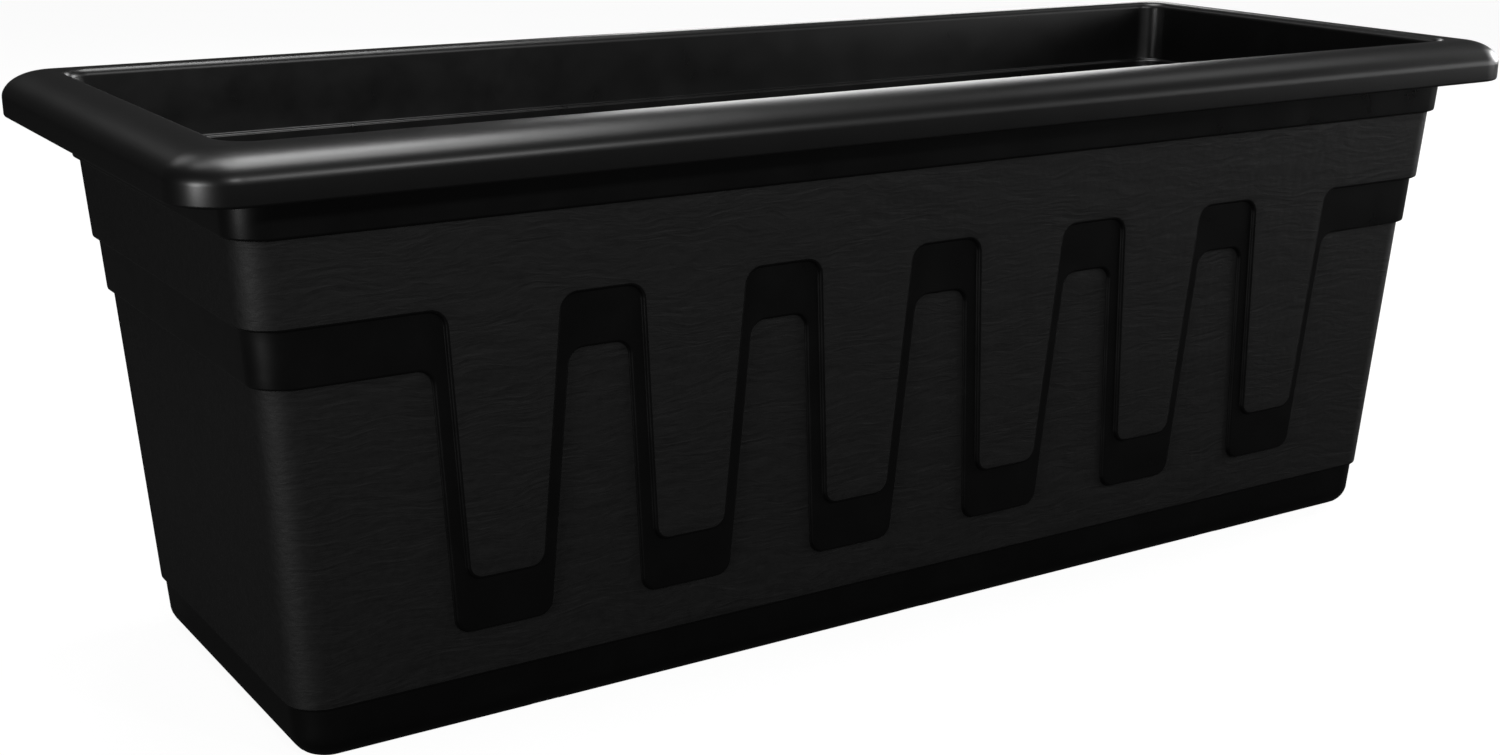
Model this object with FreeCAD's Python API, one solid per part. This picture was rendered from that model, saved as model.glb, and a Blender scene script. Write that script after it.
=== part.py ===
import FreeCAD, Part
import math
import os

# A window box planter: one thin-walled trough moulded in a single shot, open at the top,
# with drain holes in its raised floor and a pull-out plug in each hole.
# Units are millimetres. X runs along the box, Y from front to back, Z up.
# The origin is under the middle of the box, on the surface that it stands on.

Vector = FreeCAD.Vector
UP = Vector(0, 0, 1)

# ---- overall sizes -------------------------------------------------------------------
length = 500.0                # over the rim, along X
width = 198.0                 # over the rim, along Y
height = 185.0                # standing surface to the crest of the rim
wall = 2.5                    # thickness of every wall
draft = 0.055                 # how far a wall leans in for each mm of depth

# ---- rolled rim ----------------------------------------------------------------------
rim_depth = 14.0              # crest to the lower edge of the skirt
rim_overhang = 17.0           # outside of the skirt to the foot of the neck
dome_height = 8.2             # the skirt rolls over onto the crest in a quarter ellipse
crest_width = 1.84            # flat along the top of the rim
crest_corner_radius = 3.2     # in plan, at the outside of that flat
lip_radius = 2.4              # rounding of the crest's inner edge

# ---- outside walls, from the top down ------------------------------------------------
corner_radius = 11.0          # in plan, at the outside of every wall
neck_height = 12.5            # plain wall that shows under the rim
neck_step = 1.6               # neck to upper panel
panel_step = 1.5              # upper panel to band, and band to lower panel
plinth_step = 1.0             # lower panel to plinth
shoulder_height = 25.5        # upper panel above the band
band_height = 17.0            # level stretches of the band
plinth_height = 17.5
bottom_radius = 8.0           # rounding between the plinth and the underside

# ---- the winding band: tongues of the upper panel hang down between arches ------------
tongue_root_width = 36.6      # at the band's top edge
arch_width = 25.9             # between neighbouring tongues, at the band's top edge
tongue_tip_width = 24.8       # at the tongue's lower end
tongue_clearance = 32.5       # plinth to the tongue's lower end
leg_width = 4.2               # steep stretches of the band, measured along X
bend_radius = 5.0

# ---- floor ---------------------------------------------------------------------------
floor_thickness = 3.0
floor_lift = 4.0              # the middle of the floor stands clear of the surface
foot_ring_width = 10.0        # flat ring that the box stands on
floor_flare = 1.5             # how far the sides of the raised floor lean
groove_depth = 1.4            # drain grooves across the foot ring
groove_width = 10.0

# ---- drain plugs ---------------------------------------------------------------------
drain_hole_diameter = 16.0
drain_margin_x = 60.0         # edge of the raised floor to the outer holes' middles
drain_margin_y = 15.0
drain_columns = 3
plug_clearance = 0.1          # stem to hole, all round
plug_flange_overlap = 4.0     # flange beyond the hole's edge, all round
plug_flange_thickness = 2.0
plug_stem_reach = 1.0         # stem below the floor
plug_lead_in = 0.8            # taper of the stem's lower end
plug_skin = 1.8               # the stem is hollow
plug_edge_radius = 0.8
grip_length = 14.0
grip_thickness = 3.0
grip_height = 7.0

# ---- worked out from the sizes above -------------------------------------------------
rim_bottom = height - rim_depth
neck_bottom = rim_bottom - neck_height
band_top = neck_bottom - shoulder_height
tongue_bottom = plinth_height + tongue_clearance
above_rim = height + rim_depth
beyond = 2 * length           # well clear of the box on every side

tongue_pitch = tongue_root_width + arch_width

# how far each wall stands in from the rim's outside plane, level with the foot of the neck
NECK = rim_overhang
UPPER_PANEL = NECK + neck_step
BAND = UPPER_PANEL + panel_step
LOWER_PANEL = BAND + panel_step
PLINTH = LOWER_PANEL + plinth_step

crest_inner_inset = NECK - draft * (height - neck_bottom) + wall - lip_radius
dome_width = crest_inner_inset - crest_width
rim_corner_radius = crest_corner_radius + dome_width

floor_top = floor_lift + floor_thickness
foot_radius = min(bottom_radius, corner_radius - wall)
foot_inset = PLINTH + draft * neck_bottom
ring_inset = foot_inset + foot_radius + foot_ring_width
drain_hole_radius = drain_hole_diameter / 2


def inset_at(stage, z):
    """Distance from the rim's outside plane to a wall, at height z."""
    return stage + draft * (neck_bottom - z)


def edges_at_height(shape, z, clear_of_side=0.0):
    """Edges that lie level at height z, at least that far inside the shape's long sides."""
    half_width = shape.BoundBox.YMax - clear_of_side
    found = []
    for edge in shape.Edges:
        box = edge.BoundBox
        level = max(abs(box.ZMin - z), abs(box.ZMax - z)) < 1e-4
        if level and max(box.YMax, -box.YMin) <= half_width + 1e-4:
            found.append(edge)
    return found


def plan_wire(inset, radius, z):
    """Rounded rectangle that stands in from the rim's outside planes."""
    x = length / 2 - inset - radius
    y = width / 2 - inset - radius
    edges = []
    ends = []
    for centre_x, centre_y, angle in ((x, y, 0), (-x, y, 90), (-x, -y, 180), (x, -y, 270)):
        circle = Part.Circle(Vector(centre_x, centre_y, z), UP, radius)
        arc = Part.Arc(circle, math.radians(angle), math.radians(angle + 90)).toShape()
        edges.append(arc)
        ends.append((arc.Vertexes[0].Point, arc.Vertexes[1].Point))
    for index in range(4):
        edges.append(Part.makeLine(ends[index - 1][1], ends[index][0]))
    return Part.Wire(Part.__sortEdges__(edges))


def block_between(lower_inset, bottom, upper_inset, top, radius):
    """Solid with level ends and four evenly leaning sides."""
    lower = plan_wire(lower_inset, radius, bottom)
    upper = plan_wire(upper_inset, radius, top)
    return Part.makeLoft([lower, upper], True, True)


def wall_block(stage, offset, bottom, top):
    """Solid inside one of the walls' surfaces; offset moves the surface inwards."""
    lower_inset = inset_at(stage, bottom) + offset
    upper_inset = inset_at(stage, top) + offset
    return block_between(lower_inset, bottom, upper_inset, top, corner_radius - offset)


def rounded_outline(points, radii):
    """Closed outline; each corner with a radius becomes a tangent arc."""
    edges = []
    joints = []
    for index, corner in enumerate(points):
        if radii[index] == 0:
            joints.append((corner, corner))
            continue
        before = (points[index - 1] - corner).normalize()
        after = (points[(index + 1) % len(points)] - corner).normalize()
        half_angle = before.getAngle(after) / 2
        inward = (before + after).normalize()
        start = corner + before * (radii[index] / math.tan(half_angle))
        end = corner + after * (radii[index] / math.tan(half_angle))
        middle = corner + inward * (radii[index] / math.sin(half_angle) - radii[index])
        edges.append(Part.Arc(start, middle, end).toShape())
        joints.append((start, end))
    for index in range(len(points)):
        edges.append(Part.makeLine(joints[index - 1][1], joints[index][0]))
    return Part.Wire(Part.__sortEdges__(edges))


def tongue_centres():
    """Tongues stand at an even pitch about the middle, as many as the front has room for."""
    flat_length = length - 2 * (inset_at(LOWER_PANEL, tongue_bottom) + corner_radius)
    count = int(flat_length / tongue_pitch)
    return [(index - (count - 1) / 2) * tongue_pitch for index in range(count)]


def above_winding_edge(edge_z, tip_z, root_half, tip_half, root_radius, tip_radius):
    """Everything above an edge that is level at edge_z and hangs in tongues to tip_z."""
    top = above_rim + rim_depth
    points = [Vector(beyond, 0, top), Vector(-beyond, 0, top), Vector(-beyond, 0, edge_z)]
    radii = [0, 0, 0]
    for centre in tongue_centres():
        points.append(Vector(centre - root_half, 0, edge_z))
        points.append(Vector(centre - tip_half, 0, tip_z))
        points.append(Vector(centre + tip_half, 0, tip_z))
        points.append(Vector(centre + root_half, 0, edge_z))
        radii.extend([root_radius, tip_radius, tip_radius, root_radius])
    points.append(Vector(beyond, 0, edge_z))
    radii.append(0)
    outline = rounded_outline(points, radii)
    outline.translate(Vector(0, -beyond, 0))
    return Part.Face(outline).extrude(Vector(0, 2 * beyond, 0))


def above_band_edge(offset, drop, widen):
    """Space above one edge of the band. The upper edge has no drop, the lower edge drops by
    the band's height; offset moves the edge up and into the tongues."""
    return above_winding_edge(
        band_top - drop + offset,
        tongue_bottom - drop + offset,
        tongue_root_width / 2 + widen - offset,
        tongue_tip_width / 2 + widen - offset,
        bend_radius + offset,
        bend_radius - offset)


def terraced_body(offset, base, top, base_radius):
    """The stack of walls, each standing in from the one above it. With no offset it is the
    outside of the trough; offset by the wall it is the space inside."""
    tongue_slope = (tongue_root_width - tongue_tip_width) / 2 / (band_top - tongue_bottom)
    leg_shift = leg_width - tongue_slope * band_height
    plinth = wall_block(PLINTH, offset, base, top)
    plinth = plinth.makeFillet(base_radius, edges_at_height(plinth, base))
    lower_panel = wall_block(LOWER_PANEL, offset, plinth_height + offset, top)
    band = wall_block(BAND, offset, plinth_height, top)
    band = band.common(above_band_edge(offset, band_height, leg_shift))
    upper_panel = wall_block(UPPER_PANEL, offset, plinth_height, top)
    upper_panel = upper_panel.common(above_band_edge(offset, 0, 0))
    neck = wall_block(NECK, offset, neck_bottom + offset, top)
    body = plinth
    for stage in (lower_panel, band, upper_panel, neck):
        body = body.fuse(stage)
    return body.removeSplitter()


def rolled_profile(inner, outer, bottom, top, roll_height):
    """Upright face between two distances from a corner's axis, its outer top rolled over."""
    spring = top - roll_height
    ellipse = Part.Ellipse(Vector(0, 0, 0), outer - inner, roll_height)
    roll = Part.Arc(ellipse, 0, math.pi / 2).toShape()
    roll.rotate(Vector(0, 0, 0), Vector(1, 0, 0), 90)
    roll.translate(Vector(inner, 0, spring))
    edges = [
        roll,
        Part.makeLine(Vector(outer, 0, bottom), Vector(outer, 0, spring)),
        Part.makeLine(Vector(inner, 0, top), Vector(inner, 0, bottom)),
        Part.makeLine(Vector(inner, 0, bottom), Vector(outer, 0, bottom))]
    return Part.Face(Part.Wire(Part.__sortEdges__(edges)))


def rolled_block(offset, bottom):
    """Block with upright sides that roll over onto a flat top; offset shrinks it all over."""
    top = height - offset
    radius = rim_corner_radius - offset
    roll_width = dome_width - offset
    x = length / 2 - offset - radius
    y = width / 2 - offset - radius
    core = Part.Face(plan_wire(offset + roll_width, radius - roll_width, bottom))
    block = core.extrude(UP * (top - bottom))
    profile = rolled_profile(radius - roll_width, radius, bottom, top, dome_height - offset)
    sides = ((x, y, 0, 2 * y), (-x, y, 90, 2 * x), (-x, -y, 180, 2 * y), (x, -y, 270, 2 * x))
    for axis_x, axis_y, angle, run in sides:
        axis = Vector(axis_x, axis_y, 0)
        face = profile.copy()
        face.rotate(Vector(0, 0, 0), UP, angle)
        face.translate(axis)
        turn = math.radians(angle)
        back_along = Vector(math.sin(turn), -math.cos(turn), 0)
        block = block.fuse(face.revolve(axis, UP, 90))
        block = block.fuse(face.extrude(back_along * run))
    return block.removeSplitter()


def raised_floor(offset, bottom, top):
    """Leaning-sided block in the middle of the floor; offset makes it larger all round."""
    lean = floor_flare / floor_lift
    lower_inset = ring_inset - offset + lean * bottom
    upper_inset = ring_inset - offset + lean * top
    return block_between(lower_inset, bottom, upper_inset, top, corner_radius + offset)


def drain_places():
    """Middles of the drain holes, by name: two rows along the raised floor."""
    reach_x = length / 2 - ring_inset - drain_margin_x
    reach_y = width / 2 - ring_inset - drain_margin_y
    places = {}
    for row, y in (("front", -reach_y), ("back", reach_y)):
        for column in range(drain_columns):
            share = (2 * column - drain_columns + 1) / max(drain_columns - 1, 1)
            places["{}_{}".format(row, column + 1)] = Vector(share * reach_x, y, 0)
    return places


def make_trough():
    """The whole moulding: terraced walls, rolled rim, raised floor and drain holes."""
    trough = terraced_body(0, 0, height - wall / 2, foot_radius)
    rim = rolled_block(0, rim_bottom).cut(rolled_block(wall, rim_bottom - wall))
    trough = trough.fuse(rim)
    trough = trough.cut(terraced_body(wall, floor_thickness, above_rim, foot_radius - wall))
    trough = trough.fuse(raised_floor(wall, floor_thickness / 2, floor_top))
    trough = trough.cut(raised_floor(0, -floor_thickness, floor_lift))
    for place in drain_places().values():
        trough = trough.cut(Part.makeCylinder(drain_hole_radius, beyond, place))
        trough = trough.cut(drain_groove(place))
    lip = edges_at_height(trough, height, clear_of_side=dome_width + crest_width)
    return trough.makeFillet(lip_radius, lip)


def drain_groove(place):
    """Shallow slot across the foot ring, level with a drain hole."""
    run = ring_inset - foot_inset + wall
    groove = Part.makeBox(groove_width, run, 2 * groove_depth)
    outer_y = width / 2 - foot_inset
    start_y = outer_y - run if place.y > 0 else -outer_y
    groove.translate(Vector(place.x - groove_width / 2, start_y, -groove_depth))
    return groove


def make_plug(place):
    """Drain plug: a flange on the floor, a hollow stem in the hole and a grip to pull."""
    stem_radius = drain_hole_radius - plug_clearance
    stem_bottom = floor_lift - plug_stem_reach
    flange_radius = drain_hole_radius + plug_flange_overlap
    flange = Part.makeCylinder(flange_radius, plug_flange_thickness)
    flange.translate(Vector(0, 0, floor_top))
    flange_top = floor_top + plug_flange_thickness
    flange = flange.makeFillet(plug_edge_radius, edges_at_height(flange, flange_top))
    stem = Part.makeCylinder(stem_radius, floor_top - stem_bottom, Vector(0, 0, stem_bottom))
    stem = stem.makeChamfer(plug_lead_in, edges_at_height(stem, stem_bottom))
    hollow = Part.makeCylinder(stem_radius - plug_skin, floor_top - stem_bottom)
    hollow.translate(Vector(0, 0, stem_bottom))
    root = plug_flange_thickness / 2
    grip = Part.makeBox(grip_length, grip_thickness, grip_height + root)
    grip.translate(Vector(-grip_length / 2, -grip_thickness / 2, flange_top - root))
    grip = grip.makeFillet(grip_thickness / 3, edges_at_height(grip, flange_top + grip_height))
    plug = flange.fuse(stem.cut(hollow)).fuse(grip).removeSplitter()
    plug.translate(place)
    return plug


def main():
    os.makedirs("parts", exist_ok=True)
    pieces = {"trough": make_trough()}
    for name, place in drain_places().items():
        pieces["drain_plug_" + name] = make_plug(place)
    for name, shape in pieces.items():
        print(name, "solids", len(shape.Solids), "valid", shape.isValid(), round(shape.Volume))
        shape.exportStep("parts/{}.step".format(name))


main()
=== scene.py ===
"""Window box planter: one black moulded trough with six pull-out drain plugs.

The trough is rebuilt here from the same sizes as the solid, with rounded step edges and
embossed panels, and stands for it. All modelling lengths are millimetres.
"""
import math

import bmesh
import bpy
import numpy as np
from mathutils import Matrix, Vector, noise
from mathutils.geometry import delaunay_2d_cdt


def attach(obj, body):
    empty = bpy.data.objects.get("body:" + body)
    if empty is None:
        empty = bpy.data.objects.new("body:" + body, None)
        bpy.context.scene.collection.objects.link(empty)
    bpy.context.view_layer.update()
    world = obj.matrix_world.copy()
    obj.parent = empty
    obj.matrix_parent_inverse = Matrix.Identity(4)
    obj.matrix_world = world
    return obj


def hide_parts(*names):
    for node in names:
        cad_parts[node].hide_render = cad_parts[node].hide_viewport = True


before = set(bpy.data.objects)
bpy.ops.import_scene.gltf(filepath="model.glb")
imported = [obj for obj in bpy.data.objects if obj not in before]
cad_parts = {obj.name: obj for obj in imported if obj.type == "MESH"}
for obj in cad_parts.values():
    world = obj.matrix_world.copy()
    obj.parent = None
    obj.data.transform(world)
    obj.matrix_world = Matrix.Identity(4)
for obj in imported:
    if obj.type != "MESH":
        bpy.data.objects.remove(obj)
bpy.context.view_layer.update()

MM = 0.001

# ---- sizes of the moulding -----------------------------------------------------------
LENGTH = 500.0
WIDTH = 198.0
HEIGHT = 185.0
WALL = 2.5
DRAFT = 0.055
NECK_BOTTOM = 158.5
BAND_TOP = 133.0
BAND_HEIGHT = 17.0
PLINTH_HEIGHT = 17.5
NECK = 17.0
NECK_STEP = 1.6
PANEL_STEP = 1.5
PLINTH_STEP = 1.0
CORNER_RADIUS = 11.0
TONGUE_BOTTOM = 50.0
TONGUE_PITCH = 62.5
TONGUE_COUNT = 6
ROOT_HALF = 18.3
TIP_HALF = 12.4
LEG_WIDTH = 4.2
BEND_RADIUS = 5.0
FOOT_RADIUS = 8.0
RIM_BOTTOM = 171.0
DOME_HEIGHT = 8.2
CREST_WIDTH = 1.84
CREST_RADIUS = 3.2
LIP_RADIUS = 2.4
SKIRT_ROUND = 0.9
FLOOR_THICKNESS = 3.0
FLOOR_LIFT = 4.0
FOOT_RING = 10.0
FLOOR_FLARE = 1.5
HOLE_RADIUS = 8.0
GROOVE_WIDTH = 10.0
GROOVE_DEPTH = 1.4

PLINTH = NECK + NECK_STEP + 2 * PANEL_STEP + PLINTH_STEP
FOOT_INSET = PLINTH + DRAFT * NECK_BOTTOM
RING_INSET = FOOT_INSET + FOOT_RADIUS + FOOT_RING
FLOOR_TOP = FLOOR_LIFT + FLOOR_THICKNESS
LIP_INSET = NECK - DRAFT * (HEIGHT - NECK_BOTTOM) + WALL - LIP_RADIUS
DOME_WIDTH = LIP_INSET - CREST_WIDTH
RIM_RADIUS = CREST_RADIUS + DOME_WIDTH
LEG_SHIFT = LEG_WIDTH - (ROOT_HALF - TIP_HALF) / (BAND_TOP - TONGUE_BOTTOM) * BAND_HEIGHT
HOLE_XS = (-140.68, 0.0, 140.68)
HOLE_YS = (-34.68, 34.68)

# ---- layout of the mesh --------------------------------------------------------------
FRONT_HALF = 190.0            # half of the flat patch on the front and the back
END_HALF = 54.0               # half of the flat patch on each end
ARC_STEPS = 12
FLAT_STEPS = 3
# Spacing of the points along and up a wall, for the front and back and for the ends.
FINE_GRIDS = ((3.0, 1.2), (2.6, 2.4))
FINE_ROWS = 3.0
COARSE_GRIDS = ((24.0, 24.0), (24.0, 24.0))
COARSE_ROWS = 8.0
# A moulded step: distance from its edge towards the proud side, and share of the rise.
STEP = ((-0.35, 0.0), (-0.08, 0.1), (0.02, 0.4), (0.12, 0.74), (0.38, 0.94), (0.85, 1.0))
STEP_OUT = [d for d, _ in STEP]
STEP_IN = [-d for d, _ in reversed(STEP)]

RIM, SMOOTH, PANEL = range(3)


def rise_outside(d):
    """Share of a step's rise at distance d from its edge, on the outside of the wall."""
    return float(np.interp(d, STEP_OUT, [r for _, r in STEP]))


def rise_inside(d):
    """The same on the inside, where the rounding lies below the edge."""
    return 1.0 - rise_outside(-d)


class Skin:
    """One side of the wall: the outside, or the inside, which lies WALL further in."""

    def __init__(self, offset, rise, lines):
        self.offset = offset
        self.rise = rise
        self.lines = lines
        self.plinth_edge = PLINTH_HEIGHT + offset
        self.band_low = BAND_TOP - BAND_HEIGHT + offset
        self.band_high = BAND_TOP + offset
        self.neck_edge = NECK_BOTTOM + offset
        self.radius = CORNER_RADIUS - offset
        self.low = self.plinth_edge + lines[-1]
        self.high = self.neck_edge + lines[0]

    def inset(self, z, low=None, high=None):
        """Depth of the wall behind the rim's outside plane; low and high are the rises
        of the band's two edges, worked out for level edges where they aren't given."""
        if low is None:
            low = self.rise(z - self.band_low)
        if high is None:
            high = self.rise(z - self.band_high)
        depth = PLINTH + self.offset + DRAFT * (NECK_BOTTOM - z)
        depth -= PLINTH_STEP * self.rise(z - self.plinth_edge)
        depth -= NECK_STEP * self.rise(z - self.neck_edge)
        return depth - PANEL_STEP * (low + high)

    def levels(self, spacing):
        """Heights of the mesh rows between the plinth's step and the neck's step."""
        marks = [self.low]
        for edge in (self.band_low, self.band_high):
            marks += [edge + d for d in self.lines]
        marks.append(self.high)
        rows = [marks[0]]
        for start, end in zip(marks, marks[1:]):
            count = max(1, round((end - start) / spacing))
            rows += [start + (end - start) * (i + 1) / count for i in range(count)]
        return rows


OUTSIDE = Skin(0.0, rise_outside, STEP_OUT)
INSIDE = Skin(WALL, rise_inside, STEP_IN)


# ---- rings round the box -------------------------------------------------------------
def along_x():
    """Places of the ring's points along the front: even, plus both sides of each groove."""
    half = GROOVE_WIDTH / 2
    xs = {round(-FRONT_HALF + i * FRONT_HALF / 12, 3) for i in range(25)}
    for x in HOLE_XS:
        xs = {v for v in xs if abs(v - x) > half + 1.5}
        xs |= {x - half, x - half + 0.35, x, x + half - 0.35, x + half}
    return sorted(xs)


ALONG_X = np.array(along_x())
ALONG_Y = np.linspace(-END_HALF, END_HALF, 9)


def fitted(values, full, keep, limit):
    """Places along a side, drawn in past keep where the side is shorter than full."""
    if limit >= full:
        return values
    size = np.abs(values)
    drawn = keep + (size - keep) * (limit - keep) / (full - keep)
    return np.sign(values) * np.where(size > keep, drawn, size)


def corner(inset, radius, z):
    """Points of the front right corner, from the end of the front to the start of the end."""
    x0 = LENGTH / 2 - inset - radius
    y0 = WIDTH / 2 - inset - radius
    start = min(FRONT_HALF, x0 - 1.5)
    end = min(END_HALF, y0 - 1.5)
    points = []
    for i in range(FLAT_STEPS):
        points.append((start + (x0 - start) * i / FLAT_STEPS, -y0 - radius, z))
    for i in range(ARC_STEPS + 1):
        turn = math.pi / 2 * i / ARC_STEPS
        points.append((x0 + radius * math.sin(turn), -y0 - radius * math.cos(turn), z))
    for i in range(1, FLAT_STEPS + 1):
        points.append((x0 + radius, -y0 + (y0 - end) * i / FLAT_STEPS, z))
    return np.array(points)


def four_corners(inset, radius, z):
    """The corner's points for all four corners, each running anticlockwise."""
    first = corner(inset, radius, z)
    second = (first * (1, -1, 1))[::-1]
    return [first, second, first * (-1, -1, 1), (second * (-1, -1, 1))]


def ring(inset, radius, z):
    """Closed ring of points round the box, anticlockwise from the front's left end."""
    first, second, third, fourth = four_corners(inset, radius, z)
    x_places = fitted(ALONG_X, FRONT_HALF, 150.0, first[0][0])
    y_places = fitted(ALONG_Y, END_HALF, 0.0, -first[-1][1])
    wall_x = LENGTH / 2 - inset
    wall_y = WIDTH / 2 - inset
    front = [(x, -wall_y, z) for x in x_places]
    right = [(wall_x, y, z) for y in y_places]
    back = [(x, wall_y, z) for x in x_places[::-1]]
    left = [(-wall_x, y, z) for y in y_places[::-1]]
    return np.vstack([front, first[1:-1], right, second[1:-1], back, third[1:-1], left,
                      fourth[1:-1]])


# ---- the mesh under construction -----------------------------------------------------
class Build:
    """Points, faces and the material of each face."""

    def __init__(self):
        self.points = []
        self.faces = []
        self.looks = []

    def add_points(self, points):
        start = len(self.points)
        self.points.extend(map(tuple, points))
        return start

    def add_face(self, corners, look):
        self.faces.append(tuple(corners))
        self.looks.append(look)

    def strip(self, first, second, count, look, closed):
        """Quads between two rows of count points that start at first and second."""
        for i in range(count if closed else count - 1):
            j = (i + 1) % count
            self.add_face((first + i, first + j, second + j, second + i), look)

    def rings(self, rings, look):
        starts = [self.add_points(r) for r in rings]
        for first, second in zip(starts, starts[1:]):
            self.strip(first, second, len(rings[0]), look, True)


build = Build()


# ---- relief of the panels ------------------------------------------------------------
def slate(x, z, seed):
    """Embossed wavy lines, nearly level, like cleft slate or wood, in mm."""
    warp = 3.4 * noise.noise(Vector((x / 40, z / 24, seed)))
    warp += 1.1 * noise.noise(Vector((x / 12, z / 7, seed + 7)))
    height = z - 0.07 * x + warp
    patch = 0.75 + 0.9 * noise.noise(Vector((x / 48, z / 26, seed + 19)))
    crest = 1.0 - 3.0 * abs(noise.noise(Vector((x / 19, height / 3.4, seed + 11))))
    lines = noise.noise(Vector((x / 10, height / 2.2, seed + 3)))
    swell = noise.noise(Vector((x / 50, z / 30, seed + 5)))
    return 0.21 * max(patch, 0.1) * max(crest, 0.0) + 0.09 * lines + 0.12 * swell


def stone(y, z, seed):
    """Leathery dimples of the end panels, in mm."""
    coarse = noise.noise(Vector((y / 9, z / 9, seed)))
    fine = noise.noise(Vector((y / 4.5, z / 4.5, seed + 5)))
    return 0.2 * coarse + 0.15 * fine


def smooth_fade(value, width):
    t = min(max(value / width, 0.0), 1.0)
    return t * t * (3 - 2 * t)


# ---- the winding band ----------------------------------------------------------------
def rounded_path(points, radii, spacing):
    """Points along an open line whose corners are rounded."""
    path = [np.array(points[0], float)]
    for before, at, after, radius in zip(points, points[1:], points[2:], radii):
        before, at, after = (np.array(p, float) for p in (before, at, after))
        back = (before - at) / np.linalg.norm(before - at)
        ahead = (after - at) / np.linalg.norm(after - at)
        half = math.acos(float(np.clip(back @ ahead, -1, 1))) / 2
        reach = radius / math.tan(half)
        centre = at + (back + ahead) / np.linalg.norm(back + ahead) * radius / math.sin(half)
        start = at + back * reach - centre
        end = at + ahead * reach - centre
        turn = math.atan2(start[0] * end[1] - start[1] * end[0], start @ end)
        fill(path, centre + start, spacing)
        for i in range(1, 8):
            angle = turn * i / 7
            c, s = math.cos(angle), math.sin(angle)
            path.append(centre + np.array((c * start[0] - s * start[1],
                                           s * start[0] + c * start[1])))
    fill(path, np.array(points[-1], float), spacing)
    return np.array(path)


def fill(path, end, spacing):
    """Runs a straight stretch on to end, in even steps."""
    start = path[-1]
    count = max(1, round(float(np.linalg.norm(end - start)) / spacing))
    for i in range(1, count + 1):
        path.append(start + (end - start) * i / count)


def winding_edge(shift, drop, widen, spacing):
    """One line along the band's edge, moved by shift up and into the tongues."""
    edge_z = BAND_TOP - drop + shift
    tip_z = TONGUE_BOTTOM - drop + shift
    root = ROOT_HALF + widen - shift
    tip = TIP_HALF + widen - shift
    points = [(-FRONT_HALF, edge_z)]
    radii = []
    for index in range(TONGUE_COUNT):
        centre = (index - (TONGUE_COUNT - 1) / 2) * TONGUE_PITCH
        points += [(centre - root, edge_z), (centre - tip, tip_z),
                   (centre + tip, tip_z), (centre + root, edge_z)]
        radii += [BEND_RADIUS + shift, BEND_RADIUS - shift,
                  BEND_RADIUS - shift, BEND_RADIUS + shift]
    points.append((FRONT_HALF, edge_z))
    return rounded_path(points, radii, spacing)


def is_above(line, x, z):
    """True where points (x, z) are on the upper side of a winding line."""
    ends = np.vstack([line, [(FRONT_HALF, 999.0), (-FRONT_HALF, 999.0)]])
    inside = np.zeros(len(x), bool)
    for (x1, z1), (x2, z2) in zip(ends, np.roll(ends, -1, axis=0)):
        crosses = (z1 > z) != (z2 > z)
        if z1 != z2:
            inside ^= crosses & (x < (x2 - x1) * (z - z1) / (z2 - z1) + x1)
    return inside


def distance_to(line, x, z):
    """Distance from each point (x, z) to a line of short stretches."""
    best = np.full(len(x), 1e9)
    for (x1, z1), (x2, z2) in zip(line, line[1:]):
        run_x, run_z = x2 - x1, z2 - z1
        share = ((x - x1) * run_x + (z - z1) * run_z) / (run_x ** 2 + run_z ** 2)
        share = np.clip(share, 0, 1)
        best = np.minimum(best, np.hypot(x - x1 - share * run_x, z - z1 - share * run_z))
    return best


def meshed(points, edges):
    """Triangles over flat points, kept to the given edges; with each point's source."""
    found = delaunay_2d_cdt([Vector(p) for p in points], edges, [], 0, 1e-6)
    return [tuple(v) for v in found[0]], found[2], [s[0] if s else -1 for s in found[3]]


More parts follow.
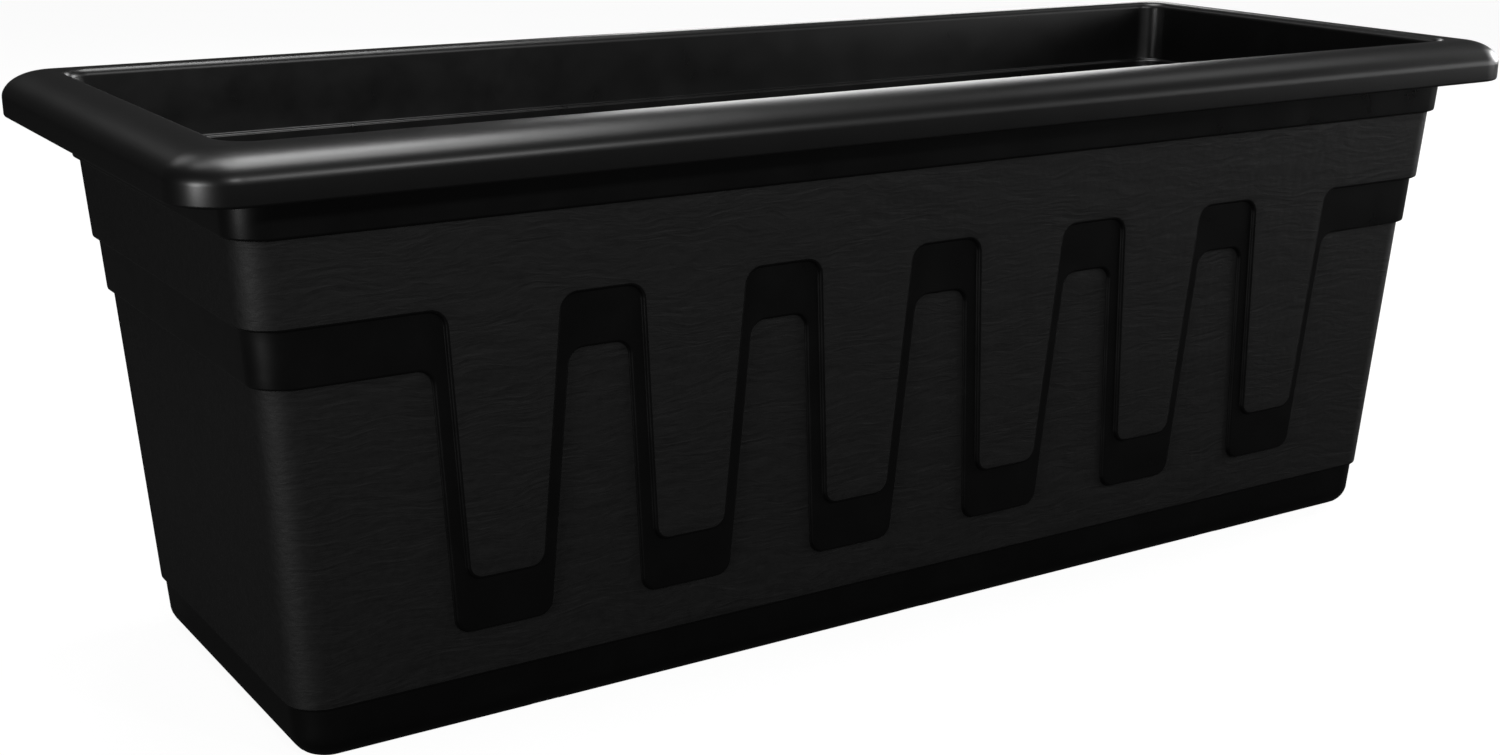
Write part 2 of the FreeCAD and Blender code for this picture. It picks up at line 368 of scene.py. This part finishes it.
def flat_patch(skin, half, rim_places, winding, row_spacing, grid, relief, place, looks):
    """A flat patch of wall between the plinth's step and the neck's step.

    Each point has a run along the wall, a height, and the rises of the band's two edges."""
    rows = skin.levels(row_spacing)
    runs, heights, lows, highs, edges = [], [], [], [], []

    def put(run, z, low, high):
        runs.append(run)
        heights.append(z)
        lows.append(low)
        highs.append(high)
        return len(runs) - 1

    def put_level(run, z):
        return put(run, z, skin.rise(z - skin.band_low), skin.rise(z - skin.band_high))

    for side in (-half, half):
        column = [put_level(side, z) for z in rows]
        edges += list(zip(column, column[1:]))
    for z in (rows[0], rows[-1]):
        line = [put_level(run, z) for run in rim_places]
        edges += list(zip(line, line[1:]))

    boundary_lines = []
    for edge, drop, widen in (("low", BAND_HEIGHT, LEG_SHIFT), ("high", 0.0, 0.0)):
        for d in skin.lines:
            if winding:
                line = winding_edge(skin.offset + d, drop, widen, 3.2)
            else:
                z = BAND_TOP - drop + skin.offset + d
                line = np.array([(run, z) for run in rim_places])
            rise = skin.rise(d)
            low, high = (rise, 0.0) if edge == "low" else (1.0, rise)
            ids = [put(run, z, low, high) for run, z in line]
            edges += list(zip(ids, ids[1:]))
            boundary_lines.append(line)
    low_line = boundary_lines[len(skin.lines) // 2]
    high_line = boundary_lines[len(skin.lines) + len(skin.lines) // 2]

    step_x, step_z = grid
    gx, gz = np.meshgrid(np.arange(-half + step_x, half - step_x / 2, step_x),
                         np.arange(rows[0] + step_z, rows[-1] - step_z / 2, step_z))
    gx = gx + (np.arange(len(gx)) % 2 * step_x / 2)[:, None]
    gx, gz = gx.ravel(), gz.ravel()
    inner = (np.abs(gx) < half - 0.4 * step_x)
    gx, gz = gx[inner], gz[inner]
    clear = np.full(len(gx), 1e9)
    for line in boundary_lines:
        clear = np.minimum(clear, distance_to(line, gx, gz))
    above_low = is_above(low_line, gx, gz)
    above_high = is_above(high_line, gx, gz)
    keep = (clear > 0.75) & ~(above_low & ~above_high)
    bumps = {}
    for x, z, low, high, gap in zip(gx[keep], gz[keep], above_low[keep], above_high[keep],
                                    clear[keep]):
        index = put(x, z, float(low), float(high))
        if relief:
            fade = smooth_fade(gap - 0.3, 2.0) * smooth_fade(half - abs(x), 8.0)
            fade *= smooth_fade(min(z - rows[0], rows[-1] - z), 2.0)
            bumps[index] = fade * relief(x, z)

    flat, triangles, source = meshed(list(zip(runs, heights)), edges)
    points = []
    for (run, z), s in zip(flat, source):
        depth = skin.inset(z, lows[s], highs[s]) - bumps.get(s, 0.0)
        points.append(place(run, z, depth))
    start = build.add_points(points)
    for triangle in triangles:
        low = sum(lows[source[i]] for i in triangle) / 3
        high = sum(highs[source[i]] for i in triangle) / 3
        on_panel = low < 0.01 or high > 0.99
        build.add_face([start + i for i in triangle], looks[0] if on_panel else looks[1])


# ---- walls ---------------------------------------------------------------------------
def wall_side(skin, looks, grids, rows_spacing, relief):
    """Everything between the plinth's step and the neck's step, on one side of the wall."""
    flat_patch(skin, FRONT_HALF, ALONG_X, True, rows_spacing, grids[0],
               relief and (lambda x, z: slate(x, z, 2.0)),
               lambda x, z, depth: (x, depth - WIDTH / 2, z), looks)
    flat_patch(skin, FRONT_HALF, ALONG_X, True, rows_spacing, grids[0],
               relief and (lambda x, z: slate(x, z, 31.0)),
               lambda x, z, depth: (x, WIDTH / 2 - depth, z), looks)
    for sign in (-1, 1):
        flat_patch(skin, END_HALF, ALONG_Y, False, rows_spacing, grids[1],
                   relief and (lambda y, z, s=sign: stone(y, z, 50.0 + s)),
                   lambda y, z, depth, s=sign: (s * (LENGTH / 2 - depth), y, z), looks)
    rows = skin.levels(rows_spacing)
    columns = [four_corners(skin.inset(z), skin.radius, z) for z in rows]
    for which in range(4):
        starts = [build.add_points(column[which]) for column in columns]
        for i, (first, second) in enumerate(zip(starts, starts[1:])):
            middle = (rows[i] + rows[i + 1]) / 2
            low = skin.rise(middle - skin.band_low)
            high = skin.rise(middle - skin.band_high)
            look = looks[0] if low < 0.01 or high > 0.99 else looks[1]
            build.strip(first, second, len(columns[0][which]), look, False)


wall_side(OUTSIDE, (PANEL, SMOOTH), FINE_GRIDS, FINE_ROWS, True)
wall_side(INSIDE, (SMOOTH, SMOOTH), COARSE_GRIDS, COARSE_ROWS, None)


def wall_ring(skin, z):
    return ring(skin.inset(z), skin.radius, z)


def foot_rings(skin, base, radius):
    """Rings of the rounding between a wall and the floor, from the floor up."""
    tilt = math.atan(DRAFT)
    slope_inset = PLINTH + skin.offset + DRAFT * (NECK_BOTTOM - base - radius)
    centre = slope_inset + radius / math.cos(tilt)
    rings = []
    for i in range(9):
        turn = (math.pi / 2 + tilt) * i / 8
        inset = centre - radius * math.sin(turn)
        z = base + radius - radius * math.cos(turn)
        plan = skin.radius - (inset - (PLINTH + skin.offset + DRAFT * (NECK_BOTTOM - z)))
        rings.append(ring(inset, max(plan, 0.6), z))
    return rings


def grooved(rings):
    """Drain grooves: the foot is lifted between their sides, front and back."""
    for points in rings:
        for x in HOLE_XS:
            within = np.abs(points[:, 0] - x) < GROOVE_WIDTH / 2 - 0.1
            points[within, 2] = np.maximum(points[within, 2], GROOVE_DEPTH)
    return rings


# Underside: from the raised floor out over the foot, and up the plinth to its step.
lean = FLOOR_FLARE / FLOOR_LIFT
recess = [ring(RING_INSET + lean * z + extra, CORNER_RADIUS, z)
          for z, extra in ((FLOOR_LIFT, 0.9), (FLOOR_LIFT - 0.2, 0.3), (FLOOR_LIFT - 0.8, 0.0),
                           (0.8, 0.0), (0.2, -0.2))]
recess.append(ring(RING_INSET - 0.9, CORNER_RADIUS + 0.9, 0.0))
recess.append(ring(RING_INSET - 4.0, CORNER_RADIUS - 1.0, 0.0))
plinth_marks = [13.0] + [OUTSIDE.plinth_edge + d for d in OUTSIDE.lines]
under = recess + foot_rings(OUTSIDE, 0.0, FOOT_RADIUS)
build.rings(grooved(under) + [wall_ring(OUTSIDE, z) for z in plinth_marks], SMOOTH)

# Neck, up into the hollow of the rim.
crest_under = HEIGHT - WALL
neck_marks = [OUTSIDE.neck_edge + d for d in OUTSIDE.lines] + [164.0, 171.0, 178.0]
neck = [wall_ring(OUTSIDE, z) for z in neck_marks]
top_inset = OUTSIDE.inset(crest_under)
neck.append(ring(top_inset, CORNER_RADIUS, crest_under - 0.8))
neck.append(ring(top_inset - 0.25, CORNER_RADIUS + 0.25, crest_under - 0.25))
neck.append(ring(top_inset - 0.8, CORNER_RADIUS + 0.8, crest_under))
build.rings(neck, SMOOTH)


def dome(offset, steps):
    """Rings of the quarter ellipse that the skirt rolls over in, from the skirt up."""
    rings = []
    for i in range(steps + 1):
        turn = math.pi / 2 * i / steps
        inset = offset + (DOME_WIDTH - offset) * (1 - math.cos(turn))
        z = HEIGHT - DOME_HEIGHT + (DOME_HEIGHT - offset) * math.sin(turn)
        rings.append(ring(inset, RIM_RADIUS - inset, z))
    return rings


# Rim: the hollow's roof, down inside the skirt, round its edge, and over to the lip.
rim = [neck[-1]]
rim += dome(WALL, 8)[::-1]
for inset, above in ((WALL, 1.0), (WALL - 0.3 * SKIRT_ROUND, 0.3), (WALL - SKIRT_ROUND, 0.0),
                     (SKIRT_ROUND, 0.0), (0.3 * SKIRT_ROUND, 0.3), (0.0, 1.0)):
    rim.append(ring(inset, RIM_RADIUS - inset, RIM_BOTTOM + above * SKIRT_ROUND))
rim += dome(0.0, 18)
lip_wall = INSIDE.inset(HEIGHT - LIP_RADIUS)
for i in range(7):
    turn = math.pi / 2 * i / 6
    inset = LIP_INSET + (lip_wall - LIP_INSET) * math.sin(turn)
    z = HEIGHT - LIP_RADIUS * (1 - math.cos(turn))
    rim.append(ring(inset, INSIDE.radius + lip_wall - inset, z))
build.rings(rim, RIM)

# Inside wall from the lip to the ledge at the neck's foot.
upper = [rim[-1]] + [wall_ring(INSIDE, z) for z in (176.0, 168.0)]
upper += [wall_ring(INSIDE, INSIDE.neck_edge + d) for d in INSIDE.lines[::-1]]
build.rings(upper, SMOOTH)

# Inside foot, the channel round the raised floor, and its side.
lower = [wall_ring(INSIDE, INSIDE.plinth_edge + d) for d in INSIDE.lines[::-1]]
lower += foot_rings(INSIDE, FLOOR_THICKNESS, FOOT_RADIUS - WALL)[::-1]
for z, extra, plan in ((FLOOR_THICKNESS, -4.0, 4.0), (FLOOR_THICKNESS, -0.9, 0.9),
                       (FLOOR_THICKNESS + 0.25, -0.2, 0.2),
                       (FLOOR_THICKNESS + 1.0, 0.0, 0.0), (FLOOR_TOP - 1.0, 0.0, 0.0),
                       (FLOOR_TOP - 0.25, 0.3, -0.3), (FLOOR_TOP, 1.0, -1.0)):
    inset = RING_INSET - WALL + lean * z + extra
    lower.append(ring(inset, CORNER_RADIUS + WALL + plan, z))
build.rings(lower, SMOOTH)


# ---- the raised floor, with its drain holes ------------------------------------------
def circle(x, y, radius, z, count=40):
    turns = np.arange(count) * 2 * math.pi / count
    return np.column_stack([x + radius * np.cos(turns), y + radius * np.sin(turns),
                            np.full(count, z)])


def holed_plate(outline, z, hole_radius):
    """Flat plate within a ring, with the round drain holes left open."""
    points = [tuple(p[:2]) for p in outline]
    edges = [(i, (i + 1) % len(points)) for i in range(len(points))]
    for x in HOLE_XS:
        for y in HOLE_YS:
            first = len(points)
            points += [tuple(p[:2]) for p in circle(x, y, hole_radius, z)]
            count = len(points) - first
            edges += [(first + i, first + (i + 1) % count) for i in range(count)]
    for x in np.arange(-180, 181, 12.0):
        for y in np.arange(-42, 43, 12.0):
            far = min(math.hypot(x - hx, y - hy) for hx in HOLE_XS for hy in HOLE_YS)
            if far > hole_radius + 3:
                points.append((x, y))
    flat, triangles, _ = meshed(points, edges)
    start = build.add_points([(x, y, z) for x, y in flat])
    for triangle in triangles:
        cx = sum(flat[i][0] for i in triangle) / 3
        cy = sum(flat[i][1] for i in triangle) / 3
        far = min(math.hypot(cx - hx, cy - hy) for hx in HOLE_XS for hy in HOLE_YS)
        if far > hole_radius - 0.05:
            build.add_face([start + i for i in triangle], SMOOTH)


HOLE_PROFILE = ((FLOOR_TOP, 0.5), (FLOOR_TOP - 0.15, 0.15), (FLOOR_TOP - 0.5, 0.0),
                (FLOOR_LIFT + 0.5, 0.0), (FLOOR_LIFT + 0.15, 0.15), (FLOOR_LIFT, 0.5))
holed_plate(lower[-1], FLOOR_TOP, HOLE_RADIUS + HOLE_PROFILE[0][1])
holed_plate(recess[0], FLOOR_LIFT, HOLE_RADIUS + HOLE_PROFILE[-1][1])
for x in HOLE_XS:
    for y in HOLE_YS:
        build.rings([circle(x, y, HOLE_RADIUS + more, z) for z, more in HOLE_PROFILE], SMOOTH)


# ---- materials -----------------------------------------------------------------------
def new_material(name, base, roughness, specular):
    material = bpy.data.materials.new(name)
    material.use_nodes = True
    shader = material.node_tree.nodes["Principled BSDF"]
    shader.inputs["Base Color"].default_value = (*base, 1)
    shader.inputs["Roughness"].default_value = roughness
    shader.inputs["Specular IOR Level"].default_value = specular
    return material, material.node_tree, shader


def noise_node(tree, vector, scale, detail, rough=0.5):
    node = tree.nodes.new("ShaderNodeTexNoise")
    node.inputs["Scale"].default_value = scale
    node.inputs["Detail"].default_value = detail
    node.inputs["Roughness"].default_value = rough
    tree.links.new(vector, node.inputs["Vector"])
    return node.outputs["Fac"]


def stretched(tree, scale):
    """Object coordinates, scaled."""
    coordinates = tree.nodes.new("ShaderNodeTexCoord")
    mapping = tree.nodes.new("ShaderNodeMapping")
    mapping.inputs["Scale"].default_value = scale
    tree.links.new(coordinates.outputs["Object"], mapping.inputs["Vector"])
    return mapping.outputs["Vector"]


def maths(tree, operation, *values):
    node = tree.nodes.new("ShaderNodeMath")
    node.operation = operation
    for socket, value in zip(node.inputs, values):
        if isinstance(value, (int, float)):
            socket.default_value = value
        else:
            tree.links.new(value, socket)
    return node.outputs[0]


def spread(tree, value, low, high):
    """Maps 0.3..0.7 of a noise to low..high."""
    node = tree.nodes.new("ShaderNodeMapRange")
    node.inputs["From Min"].default_value = 0.3
    node.inputs["From Max"].default_value = 0.7
    node.inputs["To Min"].default_value = low
    node.inputs["To Max"].default_value = high
    tree.links.new(value, node.inputs["Value"])
    return node.outputs["Result"]


def bump(tree, shader, height, distance, strength=1.0):
    node = tree.nodes.new("ShaderNodeBump")
    node.inputs["Distance"].default_value = distance
    node.inputs["Strength"].default_value = strength
    tree.links.new(height, node.inputs["Height"])
    tree.links.new(node.outputs["Normal"], shader.inputs["Normal"])


def tinted(tree, shader, value, dark, light):
    """Base colour that drifts a little between two shades."""
    mix = tree.nodes.new("ShaderNodeMix")
    mix.data_type = "RGBA"
    mix.inputs["A"].default_value = (*dark, 1)
    mix.inputs["B"].default_value = (*light, 1)
    tree.links.new(value, mix.inputs["Factor"])
    tree.links.new(mix.outputs["Result"], shader.inputs["Base Color"])


def rim_material():
    material, tree, shader = new_material("rim_plastic", (0.003, 0.003, 0.003), 0.33, 0.5)
    drift = noise_node(tree, stretched(tree, (1, 1, 1)), 14, 3)
    tinted(tree, shader, drift, (0.0026, 0.0026, 0.0026), (0.0034, 0.0034, 0.0034))
    haze = noise_node(tree, stretched(tree, (1, 1, 1)), 60, 4)
    tree.links.new(spread(tree, haze, 0.345, 0.365), shader.inputs["Roughness"])
    skin = noise_node(tree, stretched(tree, (1, 1, 1)), 1400, 2)
    bump(tree, shader, skin, 0.000005)
    return material


def smooth_material():
    # Painted shade: this base colour and its drift are about half those of the grained faces,
    # though both are the same plastic, so the smooth band, neck, plinth and inside come out
    # blacker.
    material, tree, shader = new_material("smooth_plastic_painted_darker", (0.0018, 0.0018, 0.0018), 0.3, 0.5)
    drift = noise_node(tree, stretched(tree, (1, 1, 1)), 22, 4)
    tinted(tree, shader, drift, (0.0015, 0.0015, 0.0015), (0.0021, 0.0021, 0.0021))
    haze = noise_node(tree, stretched(tree, (1, 1, 1)), 80, 4)
    tree.links.new(spread(tree, haze, 0.27, 0.33), shader.inputs["Roughness"])
    skin = noise_node(tree, stretched(tree, (1, 1, 1)), 1100, 3)
    bump(tree, shader, skin, 0.000008)
    return material


def panel_material():
    """Slate-like level lines on the front and back, turning leathery on the ends."""
    material, tree, shader = new_material("grained_plastic", (0.0036, 0.0036, 0.0036), 0.6, 0.4)
    warp = noise_node(tree, stretched(tree, (30, 30, 60)), 1.0, 2)
    coordinates = tree.nodes.new("ShaderNodeTexCoord")
    split = tree.nodes.new("ShaderNodeSeparateXYZ")
    tree.links.new(coordinates.outputs["Object"], split.inputs[0])
    lifted = maths(tree, "MULTIPLY_ADD", warp, 0.012, split.outputs["Z"])
    joined = tree.nodes.new("ShaderNodeCombineXYZ")
    tree.links.new(maths(tree, "MULTIPLY", split.outputs["X"], 55.0), joined.inputs["X"])
    tree.links.new(maths(tree, "MULTIPLY", split.outputs["Y"], 90.0), joined.inputs["Y"])
    tree.links.new(maths(tree, "MULTIPLY", lifted, 300.0), joined.inputs["Z"])
    lines = noise_node(tree, joined.outputs[0], 1.0, 3, 0.5)
    ridges = maths(tree, "ABSOLUTE", maths(tree, "SUBTRACT", lines, 0.5))
    pits = noise_node(tree, stretched(tree, (1, 1, 1)), 420, 5, 0.6)
    normal = tree.nodes.new("ShaderNodeNewGeometry")
    parts = tree.nodes.new("ShaderNodeSeparateXYZ")
    tree.links.new(normal.outputs["Normal"], parts.inputs[0])
    endwards = maths(tree, "POWER", maths(tree, "ABSOLUTE", parts.outputs["X"]), 2.0)
    front = maths(tree, "ADD", maths(tree, "MULTIPLY", ridges, -1.6),
                  maths(tree, "MULTIPLY", pits, 0.2))
    height = tree.nodes.new("ShaderNodeMix")
    tree.links.new(endwards, height.inputs["Factor"])
    tree.links.new(front, height.inputs["A"])
    tree.links.new(pits, height.inputs["B"])
    bump(tree, shader, height.outputs["Result"], 0.0004, 0.6)
    drift = noise_node(tree, stretched(tree, (14, 14, 60)), 1.0, 4)
    tinted(tree, shader, drift, (0.0031, 0.0031, 0.0031), (0.0041, 0.0041, 0.0041))
    tree.links.new(spread(tree, pits, 0.55, 0.66), shader.inputs["Roughness"])
    return material


def rubber_material():
    material, tree, shader = new_material("plug_rubber", (0.02, 0.02, 0.02), 0.7, 0.35)
    drift = noise_node(tree, stretched(tree, (1, 1, 1)), 180, 4)
    tinted(tree, shader, drift, (0.016, 0.016, 0.017), (0.026, 0.026, 0.027))
    tree.links.new(spread(tree, drift, 0.62, 0.78), shader.inputs["Roughness"])
    skin = noise_node(tree, stretched(tree, (1, 1, 1)), 1500, 3)
    bump(tree, shader, skin, 0.00004)
    return material


# ---- the trough ----------------------------------------------------------------------
def finish_trough():
    mesh = bpy.data.meshes.new("trough_moulding")
    points = np.array(build.points) * MM
    mesh.from_pydata(points.tolist(), [], build.faces)
    for material in (rim_material(), smooth_material(), panel_material()):
        mesh.materials.append(material)
    mesh.polygons.foreach_set("material_index", build.looks)
    work = bmesh.new()
    work.from_mesh(mesh)
    bmesh.ops.remove_doubles(work, verts=work.verts, dist=0.000004)
    bmesh.ops.dissolve_degenerate(work, dist=0.000002, edges=work.edges)
    bmesh.ops.recalc_face_normals(work, faces=work.faces)
    for face in work.faces:
        face.smooth = True
    open_edges = sum(1 for e in work.edges if len(e.link_faces) != 2)
    volume = work.calc_volume()
    print("trough faces", len(work.faces), "edges without two faces", open_edges,
          "volume", round(volume * 1e9))
    work.to_mesh(mesh)
    work.free()
    piece = bpy.data.objects.new("trough_moulding", mesh)
    bpy.context.scene.collection.objects.link(piece)
    weigh = piece.modifiers.new("even_shading", "WEIGHTED_NORMAL")
    weigh.mode = "FACE_AREA"
    weigh.weight = 50
    weigh.keep_sharp = True
    return piece


trough = finish_trough()
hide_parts("trough")
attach(trough, "trough")

rubber = rubber_material()
for name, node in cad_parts.items():
    if name.startswith("drain_plug"):
        for slot in node.material_slots:
            slot.material = rubber


# ---- floor, light and camera ---------------------------------------------------------
GLOSSY_SHARE = 0.012
FLOOR_REACH = 6.0
FLOOR_DROP = 0.0004           # keeps the floor clear of the foot ring
FLOOR_DARK = 0.02             # the floor as the walls see it
FLOOR_PALE = 0.8              # the floor as the camera sees it, for its shadow ...
PAPER_SHARE = 0.85            # ... under this share of plain white
PAPER_STRENGTH = 1.12
ROOM_STRENGTH = 0.01


def background_share(tree):
    """1 for rays that come straight from the camera or through glass, GLOSSY_SHARE for
    mirrored ones: at full share the black walls would mirror a white room and turn grey."""
    path = tree.nodes.new("ShaderNodeLightPath")
    seen = maths(tree, "ADD", path.outputs["Is Camera Ray"],
                 path.outputs["Is Transmission Ray"])
    mirrored = maths(tree, "MULTIPLY", path.outputs["Is Glossy Ray"], GLOSSY_SHARE)
    return maths(tree, "ADD", seen, mirrored)


def make_floor():
    mesh = bpy.data.meshes.new("floor")
    reach = FLOOR_REACH
    mesh.from_pydata([(-reach, -reach, 0), (reach, -reach, 0), (reach, reach, 0),
                      (-reach, reach, 0)], [], [(0, 1, 2, 3)])
    material = bpy.data.materials.new("floor_paper")
    material.use_nodes = True
    tree = material.node_tree
    tree.nodes.clear()
    out = tree.nodes.new("ShaderNodeOutputMaterial")
    dark = tree.nodes.new("ShaderNodeBsdfDiffuse")
    dark.inputs["Color"].default_value = (FLOOR_DARK, FLOOR_DARK, FLOOR_DARK, 1)
    pale = tree.nodes.new("ShaderNodeBsdfDiffuse")
    pale.inputs["Color"].default_value = (FLOOR_PALE, FLOOR_PALE, FLOOR_PALE, 1)
    white = tree.nodes.new("ShaderNodeEmission")
    white.inputs["Strength"].default_value = PAPER_STRENGTH
    paper = tree.nodes.new("ShaderNodeMixShader")
    paper.inputs[0].default_value = PAPER_SHARE
    tree.links.new(pale.outputs[0], paper.inputs[1])
    tree.links.new(white.outputs[0], paper.inputs[2])
    mix = tree.nodes.new("ShaderNodeMixShader")
    tree.links.new(background_share(tree), mix.inputs[0])
    tree.links.new(dark.outputs[0], mix.inputs[1])
    tree.links.new(paper.outputs[0], mix.inputs[2])
    tree.links.new(mix.outputs[0], out.inputs["Surface"])
    mesh.materials.append(material)
    floor = bpy.data.objects.new("floor", mesh)
    bpy.context.scene.collection.objects.link(floor)
    floor.location.z = -FLOOR_DROP


def make_world():
    world = bpy.data.worlds.new("studio")
    bpy.context.scene.world = world
    world.use_nodes = True
    tree = world.node_tree
    tree.nodes.clear()
    out = tree.nodes.new("ShaderNodeOutputWorld")
    soft = tree.nodes.new("ShaderNodeBackground")
    soft.inputs["Color"].default_value = (1, 1, 1, 1)
    soft.inputs["Strength"].default_value = ROOM_STRENGTH
    white = tree.nodes.new("ShaderNodeBackground")
    white.inputs["Color"].default_value = (1, 1, 1, 1)
    white.inputs["Strength"].default_value = 1.0
    mix = tree.nodes.new("ShaderNodeMixShader")
    tree.links.new(background_share(tree), mix.inputs[0])
    tree.links.new(soft.outputs[0], mix.inputs[1])
    tree.links.new(white.outputs[0], mix.inputs[2])
    tree.links.new(mix.outputs[0], out.inputs["Surface"])


def softbox(name, place, target, size, watts):
    light = bpy.data.lights.new(name, "AREA")
    light.shape = "RECTANGLE"
    light.size = size
    light.size_y = size
    light.energy = watts
    lamp = bpy.data.objects.new(name, light)
    bpy.context.scene.collection.objects.link(lamp)
    lamp.location = place
    lamp.rotation_euler = (Vector(target) - Vector(place)).to_track_quat("-Z", "Y").to_euler()
    lamp.visible_camera = False


def make_camera():
    data = bpy.data.cameras.new("camera")
    camera = bpy.data.objects.new("camera", data)
    bpy.context.scene.collection.objects.link(camera)
    right = Vector((0.83142, -0.55557, 0.0092)).normalized()
    back = -Vector((0.53323, 0.79309, -0.2944))
    back = (back - back.dot(right) * right).normalized()
    up = back.cross(right)
    camera.matrix_world = Matrix.Translation((-0.39367, -0.59015, 0.27024)) @ Matrix(
        (right, up, back)).transposed().to_4x4()
    data.sensor_fit = "HORIZONTAL"
    data.sensor_width = 36.0
    data.lens = 48.878
    data.shift_x = -(817.53 - 750) / 1500
    data.shift_y = (422.34 - 377.5) / 1500
    data.clip_start = 0.01
    bpy.context.scene.camera = camera


# Name, place, aimed at, size and watts of each lamp; places in metres.
LAMPS = (
    ("top", (0, 0, 1.2), (0, 0, 0.12), 0.6, 8.8),
    ("rim", (0.15, 0.25, 1.1), (0, -0.05, 0.15), 0.15, 1.3),
    ("rim_corner", (-0.4, 0.08, 0.72), (-0.2, -0.05, 0.15), 0.2, 0.35),
    ("back", (-0.5, 0.9, 1.0), (0, -0.05, 0.15), 0.4, 0.9),
    ("back_wall", (0.9, 1.2, 0.5), (0, 0.1, 0.1), 0.6, 4),
    ("key", (0.3, -1.2, 0.68), (-0.1, 0, 0.15), 0.1, 2.4),
    ("key_left", (-0.3, -1.2, 0.68), (-0.1, 0, 0.15), 0.1, 2.8),
    ("left_corner", (-1.25, -0.4, 0.15), (-0.2, -0.05, 0.15), 0.15, 3.9),
    ("left_low", (-1.15, -0.6, 0.2), (-0.2, -0.05, 0.15), 0.2, 1.6),
    ("right_low", (1.3, -0.5, 0.3), (0.25, 0, 0.1), 0.4, 2.4),
    ("right_side", (1.4, 0.1, 0.4), (0.25, 0, 0.1), 0.4, 10),
    ("right_front", (1.0, -0.9, 0.4), (0.25, 0, 0.1), 0.4, 0.8),
    ("right_rim", (0.5, 0, 0.6), (0.2, -0.05, 0.15), 0.2, 0.12),
)

make_floor()
make_world()
for lamp in LAMPS:
    softbox(*lamp)
make_camera()

bpy.context.scene.view_settings.view_transform = "Standard"
